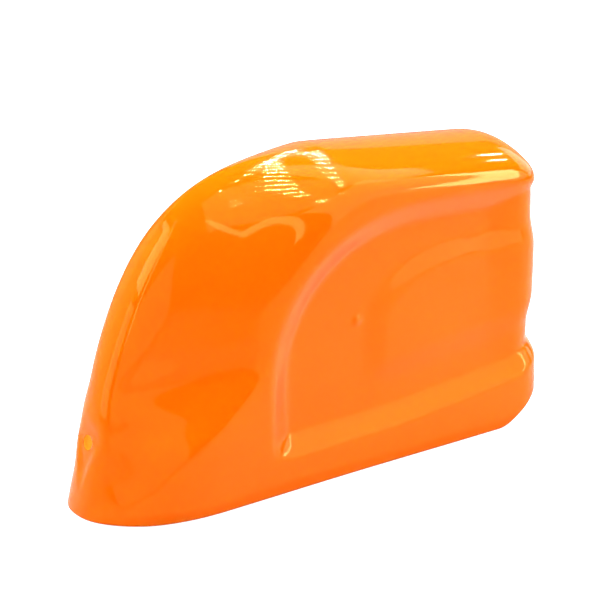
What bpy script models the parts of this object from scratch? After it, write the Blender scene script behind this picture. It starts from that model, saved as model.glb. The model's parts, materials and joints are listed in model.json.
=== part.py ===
"""Nose cover of a traffic barrier: a thermoformed cowl that drops over a bolted steel floor frame.

Lengths are metres. X runs from the nose (-X) to the tail (+X), Y across, Z up from the ground.
The ground lies at Z = 0 and the middle of the cowl's length at X = 0.
"""
import math

import bmesh
import bpy
import numpy as np
from mathutils import Matrix, Vector

# ---------------------------------------------------------------- cowl, driving sizes
COWL_LENGTH = 0.416
COWL_HALF_WIDTH = 0.060
COWL_WALL = 0.003
WAIST = 0.0012              # how far each side draws in midway along
WAIST_CENTRE = 0.215
WAIST_REACH = 0.085
SIDE_DRAFT = 0.018          # lean of the side walls, metres per metre of height
TAIL_DRAFT = 0.0202         # lean of the tail wall
NOSE_REACH = 0.0996         # length of the rounded nose in plan
NOSE_ROUNDNESS = 2.18       # exponent of the nose outline in plan
NOSE_SETBACK = 0.0032       # how far the tip of that outline lies behind the spine
TAIL_REACH = 0.0357         # length of the rounded tail in plan
TAIL_ROUNDNESS = 2.32       # exponent of the tail outline in plan
CROWN_HEIGHT = 0.249
CROWN_START = 0.2206        # distance behind the nose tip where the spine has become the crown
CROWN_FALL = 0.1154         # fall of the crown towards the tail, metres per metre
CROWN_RADIUS = 0.0873       # cross radius of the crown
DOME_RADIUS = 0.0315        # cross radius of the shoulders above the cheeks
DOME_PEAK = 0.0078          # how far past the middle plane the centre of that radius lies
DOME_SINK = 0.0004          # how far the shoulders would peak below the spine
DOME_REACH = (0.130, 0.250)  # where, behind the nose tip, the shoulders change into the crown
SPINE_SINK = 1.04           # depth below the ground of the centre of the spine curve
SPINE_ROUNDNESS = 3.35      # exponent of the spine curve along X
CROWN_ROUNDNESS = 5.97      # exponent of the spine curve along Z
SPINE_RADIUS_LOW = 0.0337   # cross radius of the nose at the ground
SPINE_RADIUS_HIGH = 0.0169  # cross radius of the nose at the top of the spine
SPINE_BLEND_HEIGHT = 0.125  # height at which the cross radius has reached the upper value
REAR_RADIUS = 0.042         # rounding between the crown and the tail wall
CREASE_BLEND = 0.0032       # softness of the edge between cheek and side
SHOULDER_BLEND = 0.0040     # softness of the edge between side and crown
SPINE_BLEND = 0.0012        # softness of the edges of the spine's band
REAR_BLEND = 0.0017         # softness where the crown meets its rear rounding

# How fast each cheek runs in towards the nose, metres per metre, by share of the crown's height.
CHEEK_SLOPES = ((-0.04, 1.27), (0.11, 1.02), (0.22, 0.67), (0.30, 0.478),
                (0.40, 0.385), (0.60, 0.31), (1.00, 0.34))
# Distance behind the nose tip at which the cheek meets the flat side, by the same share.
CHEEK_CREASE = ((-0.04, 0.031), (0.11, 0.0515), (0.22, 0.075), (0.30, 0.1035), (0.40, 0.136),
                (0.52, 0.155), (0.70, 0.185), (0.85, 0.218), (1.00, 0.266))

HEEL_LIFT = 0.0286          # how far the lower edge is cut away at the tail
HEEL_START = 0.0579         # length of that cut, from the tail

# ---------------------------------------------------------------- arched recess in the cowl
RECESS_DEPTH = 0.0095
# Share of that depth left where the recess runs round the tail, by height.
RECESS_TAIL_SHARES = ((0.055, 0.85), (0.120, 0.52), (0.190, 0.40))
RECESS_WALL = 0.0195        # width of the sloping wall round the arch
RECESS_TAIL_WALL = 0.0070   # width of that wall under the lip at the tail
LEDGE_RISE = 0.0135         # height of the sloping ledge along the bottom of the recess
ARCH_FRONT = 0.1410         # distance behind the nose tip of the foremost point of the arch
ARCH_SPRING = (0.285, 0.080)  # where the arch's curve starts: behind the nose tip, above ground
ARCH_TOP = 0.2055
ARCH_ROUNDNESS = 2.15
LIP_FALL = 0.012            # fall of the lip line between the arch spring and the tail
PLINTH_HEIGHT = 0.0283
PLINTH_RISE = 0.105         # rise of the plinth towards the tail, metres per metre
PLINTH_RISE_START = 0.250
PLINTH_RISE_BLEND = 0.020
PLINTH_LIFT = 0.016         # further rise where the plinth runs round the tail
PLINTH_LIFT_START = 0.061   # ahead of the tail
KNEE = 0.07                 # rounding of the recess's edges, as a share of the wall

# Raised panel inside the recess.
PILLOW_HEIGHT = 0.0032
PILLOW_FRONT = 0.228
PILLOW_SPRING = (0.335, 0.110)
PILLOW_TOP = 0.170
PILLOW_FOOT = 0.058
PILLOW_EDGE = 0.026

# Small pip on the floor of the recess.
PIP_CENTRE = (0.226, 0.119)
PIP_RADIUS = 0.0060
PIP_HEIGHT = 0.0016

# Fixing hole in the nose, with the shallow pad round it.
HOLE_DIAMETER = 0.011
HOLE_HEIGHT = 0.0565
PAD_RADIUS = 0.019
PAD_DEPTH = 0.0022

# ---------------------------------------------------------------- floor frame
GAP = 0.0003                # running clearance between touching pieces
MAT_THICKNESS = 0.004
PLATE_THICKNESS = 0.004
PLATE_CLEARANCE = 0.0015    # between the plate's edge and the cowl's inner face
PLATE_SETBACK = 0.044       # straight rear edge of the plate, ahead of the tail
STRIP_THICKNESS = 0.003
ANCHOR_HOLE_DIAMETER = 0.012
ANCHOR_FRONT = 0.108        # behind the nose tip
ANCHOR_REAR = 0.176         # ahead of the tail
ANCHOR_OFFSET = 0.026       # from the centre line

BRACKET_WIDTH = 0.018
BRACKET_SETBACK = 0.013     # from the nose wall's inner face to the bracket
BRACKET_FOOT_END = 0.092    # behind the nose tip
BRACKET_STUDS = (0.057, 0.080)
BRACKET_OVERREACH = 0.013   # how far the bracket runs on above the fixing hole
RIVET_NUT_FLANGE_DIAMETER = 0.0150
RIVET_NUT_FLANGE_THICKNESS = 0.0014
RIVET_NUT_BODY_DIAMETER = 0.0120
RIVET_NUT_LENGTH = 0.016
RIVET_NUT_BORE_DIAMETER = 0.0085

KEEPER_WIDTH = 0.046
KEEPER_FOOT = 0.046         # length of the foot, ahead of the upright
KEEPER_STUD = 0.033         # ahead of the upright
KEEPER_STUD_OFFSET = 0.014
KEEPER_SHELF_HEIGHT = 0.040
KEEPER_SHELF_FRONT = 0.022  # shelf ahead of the tongue
KEEPER_SHELF_REAR = 0.007   # shelf behind the tongue
TONGUE_WIDTH = 0.026
TONGUE_THICKNESS = 0.003
TONGUE_DEPTH = 0.012        # how far the tongue reaches below the shelf
TONGUE_SETBACK = 0.012      # step between the bonding flange and the tongue
FLANGE_FOOT = 0.098
FLANGE_TOP = 0.148
BOND_THICKNESS = 0.0016
SLOT_CLEARANCE = 0.0012

HOOP_FRONT = 0.202          # behind the nose tip
HOOP_REAR = 0.128           # ahead of the tail
HOOP_WIDTH = 0.022
HOOP_SIDE_CLEARANCE = 0.005  # between the top of a hoop's upright and the inside of the cheek
HOOP_CORNER = 0.016
HOOP_FOOT_LENGTH = 0.018
BUFFER_THICKNESS = 0.006
BUFFER_HALF_WIDTH = 0.014
CROWN_CLEARANCE = 0.0010    # between a buffer and the inside of the crown

STUD_DIAMETER = 0.006
STUD_HEAD_DIAMETER = 0.010
STUD_HEAD_THICKNESS = 0.0025
STUD_OVERRUN = 0.0025
BORE_CLEARANCE = 0.0003
NUT_ACROSS_FLATS = 0.010
NUT_FLANGE_DIAMETER = 0.0135
NUT_FLANGE_THICKNESS = 0.0015
NUT_THICKNESS = 0.006

GUIDE_FRONT = 0.128         # behind the nose tip
GUIDE_REAR = 0.094          # ahead of the tail
GUIDE_LENGTH = 0.034
GUIDE_WIDTH = 0.010
GUIDE_HEIGHT = 0.015
GUIDE_ROUNDING = 0.0015
SCREW_DIAMETER = 0.004
SCREW_HEAD_DIAMETER = 0.0075
SCREW_HEAD_THICKNESS = 0.0030

ROUND_SEGMENTS = 20

# ---------------------------------------------------------------- worked out
NOSE_X = -COWL_LENGTH / 2
PLATE_END = COWL_LENGTH - PLATE_SETBACK
ANCHOR_STATIONS = (ANCHOR_FRONT, COWL_LENGTH - ANCHOR_REAR)
HOOP_STATIONS = {"front": HOOP_FRONT, "rear": COWL_LENGTH - HOOP_REAR}
GUIDE_STATIONS = {"front": GUIDE_FRONT, "rear": COWL_LENGTH - GUIDE_REAR}
PLATE_FLOOR = MAT_THICKNESS + GAP
PLATE_TOP = PLATE_FLOOR + PLATE_THICKNESS
FOOT_FLOOR = PLATE_TOP + GAP
FOOT_TOP = FOOT_FLOOR + STRIP_THICKNESS
NUT_FLOOR = FOOT_TOP + GAP
NUT_TOP = NUT_FLOOR + NUT_THICKNESS
STUD_TOP = NUT_TOP + STUD_OVERRUN

COLLECTION = bpy.data.collections.new("barrier_nose_cover")
CUTTERS = bpy.data.collections.new("cutters")


# ---------------------------------------------------------------- scene helpers
def clear_scene():
    for item in list(bpy.data.objects):
        bpy.data.objects.remove(item, do_unlink=True)
    for collection in (COLLECTION, CUTTERS):
        bpy.context.scene.collection.children.link(collection)


def material(name, colour, roughness, metallic=0.0):
    made = bpy.data.materials.new(name)
    made.use_nodes = True
    shader = made.node_tree.nodes["Principled BSDF"]
    shader.inputs["Base Color"].default_value = (*colour, 1.0)
    shader.inputs["Roughness"].default_value = roughness
    shader.inputs["Metallic"].default_value = metallic
    return made


def add_object(name, mesh, made_of=None, collection=None):
    item = bpy.data.objects.new(name, mesh)
    (collection or COLLECTION).objects.link(item)
    if made_of is not None:
        mesh.materials.append(made_of)
    return item


def mesh_from_bmesh(name, shape):
    mesh = bpy.data.meshes.new(name)
    shape.to_mesh(mesh)
    shape.free()
    return mesh


def add_cylinder(shape, diameter, low, high, place=None):
    """Add a closed cylinder from low to high along Z, moved and turned by a matrix."""
    middle = Matrix.Translation((0.0, 0.0, (low + high) / 2))
    bmesh.ops.create_cone(shape, cap_ends=True, segments=ROUND_SEGMENTS, radius1=diameter / 2,
                          radius2=diameter / 2, depth=high - low, matrix=(place or Matrix()) @ middle)


def add_box(shape, low, high):
    size = [b - a for a, b in zip(low, high)]
    middle = [(a + b) / 2 for a, b in zip(low, high)]
    bmesh.ops.create_cube(shape, size=1.0, matrix=Matrix.Translation(middle) @ Matrix.Diagonal((*size, 1.0)))


def cutter(name, shape):
    item = add_object(name, mesh_from_bmesh(name, shape), collection=CUTTERS)
    item.hide_render = True
    item.display_type = "WIRE"
    return item


def boolean(item, tool, operation="DIFFERENCE"):
    modifier = item.modifiers.new(tool.name, "BOOLEAN")
    modifier.operation = operation
    modifier.solver = "EXACT"
    modifier.object = tool


def bevel(item, width, segments=1):
    rounding = item.modifiers.new("rounding", "BEVEL")
    rounding.width = width
    rounding.segments = segments
    rounding.limit_method = "ANGLE"


def solidify(item, thickness, offset):
    wall = item.modifiers.new("wall", "SOLIDIFY")
    wall.thickness = thickness
    wall.offset = offset
    wall.use_even_offset = True


def smooth(item, degrees=40.0):
    item.data.shade_smooth()
    item.data.set_sharp_from_angle(angle=math.radians(degrees))


def turned_profile(name, profile):
    """Mesh of a closed profile of (radius, height) points, for a Screw modifier."""
    mesh = bpy.data.meshes.new(name)
    on_axis = profile[0][0] == 0.0 and profile[-1][0] == 0.0
    count = len(profile)
    edges = [(i, (i + 1) % count) for i in range(count - 1 if on_axis else count)]
    mesh.from_pydata([(r, 0.0, h) for r, h in profile], edges, [])
    return mesh


def turn(item, steps=ROUND_SEGMENTS):
    screw = item.modifiers.new("turn", "SCREW")
    screw.steps = steps
    screw.render_steps = steps
    screw.use_merge_vertices = True
    screw.merge_threshold = 0.00005
    screw.use_smooth_shade = False


def place(item, x, y, z=0.0):
    item.location = (x, y, z)
    return item


# ---------------------------------------------------------------- cowl surface
def smooth_step(value):
    value = np.clip(value, 0.0, 1.0)
    return value * value * (3.0 - 2.0 * value)


def soft_max(a, b, blend):
    top = np.maximum(a, b)
    return top + blend * np.log(np.exp((a - top) / blend) + np.exp((b - top) / blend))


def soft_ramp(value, knee=KNEE):
    """Rise from 0 to 1 as value goes from 0 to 1, with rounded ends."""
    start = np.logaddexp(0.0, value / knee)
    end = np.logaddexp(0.0, (value - 1.0) / knee)
    return (start - end) * knee


def through(points, value):
    """Smooth monotone curve through the points."""
    xs = np.array([p[0] for p in points])
    ys = np.array([p[1] for p in points])
    slopes = np.gradient(ys, xs)
    span = np.clip(np.searchsorted(xs, value) - 1, 0, len(xs) - 2)
    width = xs[span + 1] - xs[span]
    t = np.clip((value - xs[span]) / width, 0.0, 1.0)
    return ((2 * t**3 - 3 * t**2 + 1) * ys[span] + (t**3 - 2 * t**2 + t) * width * slopes[span]
            + (3 * t**2 - 2 * t**3) * ys[span + 1] + (t**3 - t**2) * width * slopes[span + 1])


def spine_span():
    """Length of the spine curve's half axis along X, so that the curve starts at the nose tip."""
    share = (SPINE_SINK / (CROWN_HEIGHT + SPINE_SINK)) ** CROWN_ROUNDNESS
    return CROWN_START / (1.0 - share) ** (1.0 / SPINE_ROUNDNESS)


def spine_position(height):
    """Distance behind the nose tip of the spine at a height."""
    share = np.clip((height + SPINE_SINK) / (CROWN_HEIGHT + SPINE_SINK), 0.0, 0.9999)
    return CROWN_START - spine_span() * (1.0 - share**CROWN_ROUNDNESS) ** (1.0 / SPINE_ROUNDNESS)


def plan_field(s, across, height):
    """Signed distance to the wall that stands on the base outline; s runs back from the nose tip."""
    waist = WAIST * np.exp(-(((s - WAIST_CENTRE) / WAIST_REACH) ** 2))
    half = COWL_HALF_WIDTH - SIDE_DRAFT * height - waist
    tip = np.minimum(spine_position(height) + NOSE_SETBACK, NOSE_REACH * 0.8)
    tail_end = COWL_LENGTH - TAIL_DRAFT * height
    nose = np.clip((NOSE_REACH - s) / (NOSE_REACH - tip), 0.0, None)
    tail = np.clip((s - tail_end + TAIL_REACH) / TAIL_REACH, 0.0, None)
    nose_ring = (nose**NOSE_ROUNDNESS + (across / half) ** NOSE_ROUNDNESS) ** (1 / NOSE_ROUNDNESS)
    tail_ring = (tail**TAIL_ROUNDNESS + (across / half) ** TAIL_ROUNDNESS) ** (1 / TAIL_ROUNDNESS)
    return (np.where(s < COWL_LENGTH / 2, nose_ring, tail_ring) - 1.0) * half


def cheek_field(s, across, height):
    level = height / CROWN_HEIGHT
    limit = COWL_HALF_WIDTH - through(CHEEK_SLOPES, level) * (through(CHEEK_CREASE, level) - s)
    return (across - limit) * 0.8


def profile(s, behind, above):
    """Signed distance to spine, crown and rear rounding, drawn as one curve in the XZ plane."""
    top = CROWN_HEIGHT - CROWN_FALL * np.clip(s - CROWN_START, 0.0, None)
    run = np.clip((CROWN_START - behind) / spine_span(), 0.0, None)
    climb = np.clip(above + SPINE_SINK, 0.0, None) / (top + SPINE_SINK)
    front = ((run**SPINE_ROUNDNESS + climb**CROWN_ROUNDNESS) ** (1 / CROWN_ROUNDNESS) - 1.0)
    front = front * (top + SPINE_SINK) * 0.75
    rear_end = COWL_LENGTH - TAIL_DRAFT * (CROWN_HEIGHT - REAR_RADIUS) + REAR_BLEND
    over = np.clip(s - rear_end + REAR_RADIUS, 0.0, None)
    up = np.clip(above - top + REAR_RADIUS, 0.0, None)
    rear = np.sqrt(over**2 + up**2) - REAR_RADIUS
    return soft_max(front, rear, REAR_BLEND)


def spine_field(s, across, height):
    """The band that runs up the nose and over the top, with its own cross radius."""
    rise = smooth_step(height / SPINE_BLEND_HEIGHT)
    radius = SPINE_RADIUS_LOW + (SPINE_RADIUS_HIGH - SPINE_RADIUS_LOW) * rise
    return profile(s, s - across**2 / (2 * radius), height + across**2 / (2 * CROWN_RADIUS))


def dome_field(s, across, height):
    """Rounded shoulders above the cheeks, which run out into the crown."""
    near, far = DOME_REACH
    change = smooth_step((s - near) / (far - near))
    radius = DOME_RADIUS + (CROWN_RADIUS - DOME_RADIUS) * change
    peak = DOME_PEAK * (1.0 - change)
    fall = ((across + peak) ** 2 - peak**2) / (2 * radius)
    return profile(s, s, height + fall + DOME_SINK * (1.0 - change))


def body_field(s, across, height):
    """Signed distance to the plain body, before the recess is pressed in; negative inside."""
    walls = soft_max(plan_field(s, across, height), cheek_field(s, across, height), CREASE_BLEND)
    sides = soft_max(walls, dome_field(s, across, height), SHOULDER_BLEND)
    return soft_max(sides, spine_field(s, across, height), SPINE_BLEND)


def cast(start, direction, reach=0.40, rounds=34):
    """Distance from each start point to the plain body's surface along each direction."""
    low = np.zeros(start.shape[:-1])
    high = np.full(start.shape[:-1], reach)
    for _ in range(rounds):
        middle = (low + high) / 2
        at = start + direction * middle[..., None]
        outside = body_field(at[..., 0], np.abs(at[..., 1]), at[..., 2]) > 0.0
        high = np.where(outside, middle, high)
        low = np.where(outside, low, middle)
    return (low + high) / 2


def lip_height(s):
    run = np.clip(s - ARCH_SPRING[0], 0, None) / (COWL_LENGTH - ARCH_SPRING[0])
    return ARCH_TOP - LIP_FALL * run**2


def plinth_height(s):
    soft = PLINTH_RISE_BLEND * np.logaddexp(0.0, (s - PLINTH_RISE_START) / PLINTH_RISE_BLEND)
    lift = PLINTH_LIFT * smooth_step((s - COWL_LENGTH + PLINTH_LIFT_START) / PLINTH_LIFT_START)
    return PLINTH_HEIGHT + PLINTH_RISE * soft + lift


def inside_arch(s, height, front, spring, top, roundness):
    """Distance inside an arch that rises from its front and runs on level behind its spring."""
    run = np.clip(spring[0] - s, 0.0, None) / (spring[0] - front)
    climb = np.clip(height - spring[1], 0.0, None) / (top - spring[1])
    ring = (run**roundness + climb**roundness) ** (1 / roundness)
    scale = np.where(ring > 1e-6, (run * (spring[0] - front) + climb * (top - spring[1]))
                     / np.maximum(run + climb, 1e-6), 1.0)
    return (1.0 - ring) * scale


def recess_depth(s, height):
    """How far the wall is pressed in at a place on the side or the tail."""
    at_tail = smooth_step((s - COWL_LENGTH + 2 * TAIL_REACH) / TAIL_REACH)
    wall = RECESS_WALL + (RECESS_TAIL_WALL - RECESS_WALL) * at_tail
    arch = inside_arch(s, height, ARCH_FRONT, ARCH_SPRING, lip_height(s), ARCH_ROUNDNESS)
    arch = soft_ramp(arch / wall)
    ledge = soft_ramp((height - plinth_height(s)) / LEDGE_RISE)
    share = 1.0 - (1.0 - through(RECESS_TAIL_SHARES, height)) * at_tail
    depth = RECESS_DEPTH * share * arch * ledge
    pillow = inside_arch(s, height, PILLOW_FRONT, PILLOW_SPRING, PILLOW_TOP, ARCH_ROUNDNESS)
    pillow = smooth_step(pillow / PILLOW_EDGE)
    foot = smooth_step((height - plinth_height(s) + PLINTH_HEIGHT - PILLOW_FOOT) / PILLOW_EDGE)
    depth = depth - PILLOW_HEIGHT * pillow * foot
    away = np.hypot(s - PIP_CENTRE[0], height - PIP_CENTRE[1]) / PIP_RADIUS
    return depth - PIP_HEIGHT * (1.0 - smooth_step(away))


def pad_depth(across, height):
    """Shallow pad round the fixing hole, which runs out in a V below it."""
    below = np.clip(HOLE_HEIGHT - height, 0.0, None)
    above = np.clip(height - HOLE_HEIGHT, 0.0, None)
    away = np.hypot(across * (1.0 + below / PAD_RADIUS), above + below * 0.45) / PAD_RADIUS
    return PAD_DEPTH * (1.0 - smooth_step((away - 0.35) / 0.65))


# Axis that the surface is measured from: it lies in the middle plane, inside the body.
AXIS_FRONT_LOW = 0.100
AXIS_FRONT_HIGH = 0.145
TAIL_AXIS_SETBACK = 0.067
AXIS_REAR = COWL_LENGTH - TAIL_AXIS_SETBACK
AXIS_TOP = 0.192
SKIRT = 0.010               # length that the raw skin runs on below the ground before it is trimmed


def cowl_skin(nose_columns, side_columns, tail_columns, wall_rows, crown_rows):
    """Half of the cowl's outer skin as a grid of points: columns round it, rows up and over it."""
    right = math.pi / 2
    fan = [(0.0, right * i / nose_columns) for i in range(nose_columns)]
    fan += [(i / side_columns, right) for i in range(side_columns)]
    fan += [(1.0, right * (1 + i / tail_columns)) for i in range(tail_columns + 1)]
    rows = [(-SKIRT + (AXIS_TOP + SKIRT) * i / wall_rows, 0.0) for i in range(wall_rows)]
    rows += [(AXIS_TOP, right * i / crown_rows) for i in range(crown_rows + 1)]
    along = np.array([f[0] for f in fan])[:, None]
    turn = np.array([f[1] for f in fan])[:, None]
    level = np.array([r[0] for r in rows])[None, :]
    tilt = np.array([r[1] for r in rows])[None, :]
    front = AXIS_FRONT_LOW + (AXIS_FRONT_HIGH - AXIS_FRONT_LOW) * np.clip(level / AXIS_TOP, 0, 1)
    axis = front + (AXIS_REAR - front) * along
    level = level + 0 * along
    start = np.stack([axis, 0 * axis, level], -1)
    direction = np.stack([-np.cos(turn) * np.cos(tilt), -np.sin(turn) * np.cos(tilt),
                          np.sin(tilt) + 0 * turn], -1)
    far = cast(start, direction)
    plain = start + direction * far[..., None]
    behind = np.where(turn > right, AXIS_REAR + far * (turn - right) / right * np.cos(tilt), plain[..., 0])
    pressed = recess_depth(behind, plain[..., 2])
    nose = np.where(plain[..., 0] < ARCH_FRONT / 2, pad_depth(plain[..., 1], plain[..., 2]), 0.0)
    skin = plain - direction * (pressed + nose)[..., None]
    skin[..., 0] += NOSE_X
    skin[:, -1, 1] = 0.0
    skin[0, :, 1] = 0.0
    skin[-1, :, 1] = 0.0
    return skin


def skin_mesh(name, skin):
    shape = bmesh.new()
    grid = [[shape.verts.new(point) for point in column] for column in skin]
    for left, right in zip(grid, grid[1:]):
        for row in range(len(left) - 1):
            shape.faces.new((left[row], right[row], right[row + 1], left[row + 1]))
    mesh = bpy.data.meshes.new(name)
    shape.to_mesh(mesh)
    shape.free()
    return mesh


def nose_hole():
    """Matrix whose origin is on the outer skin at the fixing hole and whose Z points outwards."""
    step = HOLE_DIAMETER / 2
    lean = (spine_position(HOLE_HEIGHT + step) - spine_position(HOLE_HEIGHT - step)) / (2 * step)
    outward = Vector((-1.0, 0.0, float(lean))).normalized()
    centre = Vector((NOSE_X + float(spine_position(HOLE_HEIGHT)) + PAD_DEPTH, 0.0, HOLE_HEIGHT))
    return Matrix.Translation(centre) @ outward.to_track_quat("Z", "X").to_matrix().to_4x4()


def reach_of_skin(start, aim):
    """Distance from a point in the middle plane to the plain body's surface."""
    return float(cast(np.array([start]), np.array([aim]))[0])


def crown_inside(s, across=0.0):
    """Height of the cowl's inner face above a place on the plan."""
    start = AXIS_TOP / 2
    return start + reach_of_skin((s, across, start), (0.0, 0.0, 1.0)) - COWL_WALL


def side_inside(s, height):
    """Half width of the cowl's inner face at a place on its side."""
    pressed = float(recess_depth(np.array(s), np.array(height)))
    return reach_of_skin((s, 0.0, height), (0.0, -1.0, 0.0)) - COWL_WALL - pressed


def tail_inside(height):
    """Distance behind the nose tip of the tail wall's inner face, on the middle plane."""
    face = AXIS_REAR + reach_of_skin((AXIS_REAR, 0.0, height), (1.0, 0.0, 0.0))
    return face - COWL_WALL - float(recess_depth(np.array(face), np.array(height)))


def heel_trim():
    """Block that trims the skin at the ground and sweeps up under the tail."""
    steps = 10
    start = -NOSE_X - HEEL_START
    outline = [(NOSE_X - SKIRT, 0.0), (start, 0.0)]
    for i in range(1, steps + 1):
        outline.append((start + HEEL_START * i / steps, HEEL_LIFT * float(smooth_step(i / steps))))
    outline += [(-NOSE_X + SKIRT, HEEL_LIFT), (-NOSE_X + SKIRT, -3 * SKIRT), (NOSE_X - SKIRT, -3 * SKIRT)]
    reach = COWL_HALF_WIDTH + 2 * SKIRT
    shape = bmesh.new()
    face = shape.faces.new([shape.verts.new((x, -reach, z)) for x, z in outline])
    grown = bmesh.ops.extrude_face_region(shape, geom=[face])
    moved = [v for v in grown["geom"] if isinstance(v, bmesh.types.BMVert)]
    bmesh.ops.translate(shape, verts=moved, vec=(0.0, 2 * reach, 0.0))
    bmesh.ops.recalc_face_normals(shape, faces=shape.faces)
    return cutter("heel_trim", shape)


def cowl_shell(paint):
    shell = add_object("cowl_shell", skin_mesh("cowl_shell", cowl_skin(11, 19, 8, 17, 7)), paint)
    mirror = shell.modifiers.new("other_half", "MIRROR")
    mirror.use_axis = (False, True, False)
    mirror.merge_threshold = 0.00005
    solidify(shell, COWL_WALL, -1.0)
    shape = bmesh.new()
    add_cylinder(shape, HOLE_DIAMETER, -2 * COWL_WALL, 2 * COWL_WALL, nose_hole())
    boolean(shell, cutter("nose_fixing_hole", shape))
    boolean(shell, heel_trim())
    smooth(shell)


# ---------------------------------------------------------------- floor frame
def plate_outline():
    """Outline in the plan that stays clear of the cowl's inner face, as a list of points."""
    columns, right = 14, math.pi / 2
    turns = [right * i / columns for i in range(columns + 1)]
    places = [(AXIS_FRONT_LOW, t) for t in turns] + [(AXIS_REAR, right + t) for t in turns]
    start = np.array([[s, 0.0, PLATE_TOP] for s, _ in places])
    aim = np.array([[-math.cos(t), -math.sin(t), 0.0] for _, t in places])
    rim = (start + aim * cast(start, aim)[:, None])[:, :2]
    along = np.gradient(rim, axis=0)
    along[0] = (0.0, -1.0)
    along[-1] = (0.0, 1.0)
    along /= np.linalg.norm(along, axis=1)[:, None]
    rim += np.stack([-along[:, 1], along[:, 0]], -1) * (COWL_WALL + PLATE_CLEARANCE)
    half = [(NOSE_X + s, y) for s, y in rim if s < PLATE_END]
    half.append((NOSE_X + PLATE_END, float(np.interp(PLATE_END, rim[:, 0], rim[:, 1]))))
    return half + [(x, -y) for x, y in half[:0:-1]]


def hoop_half_span():
    """Half the width over the uprights, clear of the cowl beside the narrower hoop's corners."""
    ends = [s + side * HOOP_WIDTH / 2 for s in HOOP_STATIONS.values() for side in (-1, 1)]
    corners = [crown_inside(s, 0.0) - BUFFER_THICKNESS - HOOP_CORNER for s in ends]
    return min(side_inside(s, corner) for s, corner in zip(ends, corners)) - HOOP_SIDE_CLEARANCE


def hoop_stud_offset():
    return hoop_half_span() - STRIP_THICKNESS - HOOP_FOOT_LENGTH / 2


def bracket_studs():
    return [(NOSE_X + s, 0.0) for s in BRACKET_STUDS]


def keeper_upright():
    """Rear face of the keeper's upright."""
    return NOSE_X + tongue_rear() - TONGUE_SETBACK - TONGUE_THICKNESS - KEEPER_SHELF_FRONT


def keeper_studs():
    return [(keeper_upright() - KEEPER_STUD, side * KEEPER_STUD_OFFSET) for side in (-1, 1)]


def hoop_studs(end):
    return [(NOSE_X + HOOP_STATIONS[end], side * hoop_stud_offset()) for side in (-1, 1)]


def all_studs():
    return bracket_studs() + keeper_studs() + hoop_studs("front") + hoop_studs("rear")


def guide_places():
    """Name and centre of each side guide."""
    places = {}
    for end, s in GUIDE_STATIONS.items():
        ends = (s - GUIDE_LENGTH / 2, s, s + GUIDE_LENGTH / 2)
        outer = min(side_inside(at, z) for at in ends for z in (FOOT_FLOOR, FOOT_FLOOR + GUIDE_HEIGHT))
        for hand, side in (("left", 1), ("right", -1)):
            places[f"{end}_{hand}"] = (NOSE_X + s, side * (outer - GAP - GUIDE_WIDTH / 2))
    return places


def anchor_places():
    return [(NOSE_X + s, side * ANCHOR_OFFSET) for s in ANCHOR_STATIONS for side in (-1, 1)]


def drill(item, name, places, diameter, low, high):
    shape = bmesh.new()
    for x, y in places:
        add_cylinder(shape, diameter, low, high, Matrix.Translation((x, y, 0.0)))
    boolean(item, cutter(name, shape))


def flat_sheet(name, outline, low, high, paint):
    shape = bmesh.new()
    face = shape.faces.new([shape.verts.new((x, y, low)) for x, y in outline])
    face.normal_update()
    if face.normal.z < 0.0:
        face.normal_flip()
    item = add_object(name, mesh_from_bmesh(name, shape), paint)
    solidify(item, high - low, 1.0)
    return item


def base_mat(paint):
    mat = flat_sheet("base_mat", plate_outline(), 0.0, MAT_THICKNESS, paint)
    below, above = -MAT_THICKNESS, 2 * MAT_THICKNESS
    room = 4 * BORE_CLEARANCE
    drill(mat, "mat_stud_holes", all_studs(), STUD_HEAD_DIAMETER + room, below, above)
    drill(mat, "mat_screw_holes", guide_places().values(), SCREW_DIAMETER + room, below, above)
    drill(mat, "mat_anchor_holes", anchor_places(), ANCHOR_HOLE_DIAMETER + room, below, above)


def base_plate(paint):
    plate = flat_sheet("base_plate", plate_outline(), PLATE_FLOOR, PLATE_TOP, paint)
    below, above = PLATE_FLOOR - PLATE_THICKNESS, PLATE_TOP + PLATE_THICKNESS
    room = 2 * BORE_CLEARANCE
    drill(plate, "plate_stud_holes", all_studs(), STUD_DIAMETER + room, below, above)
    drill(plate, "plate_screw_holes", guide_places().values(), SCREW_DIAMETER + room, below, above)
    drill(plate, "plate_anchor_holes", anchor_places(), ANCHOR_HOLE_DIAMETER, below, above)


def bent_strip(name, path, plane, low, high, paint, thickness=STRIP_THICKNESS):
    """Strip that follows a path drawn in the XZ or YZ plane; its thickness lies on the path's left."""
    def point(a, b, c):
        return (a, c, b) if plane == "XZ" else (c, a, b)

    shape = bmesh.new()
    near = [shape.verts.new(point(a, b, low)) for a, b in path]
    far = [shape.verts.new(point(a, b, high)) for a, b in path]
    for i in range(len(path) - 1):
        shape.faces.new((near[i], near[i + 1], far[i + 1], far[i]))
    item = add_object(name, mesh_from_bmesh(name, shape), paint)
    solidify(item, thickness, 1.0 if plane == "XZ" else -1.0)
    return item


def drill_foot(item, places):
    drill(item, item.name + "_stud_holes", places, STUD_DIAMETER + 2 * BORE_CLEARANCE,
          FOOT_FLOOR - STRIP_THICKNESS, FOOT_TOP + STRIP_THICKNESS)


def bracket_seat():
    """The fixing hole's frame, moved inwards to the front face of the nose bracket."""
    return nose_hole() @ Matrix.Translation((0.0, 0.0, -COWL_WALL - BRACKET_SETBACK))


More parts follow.
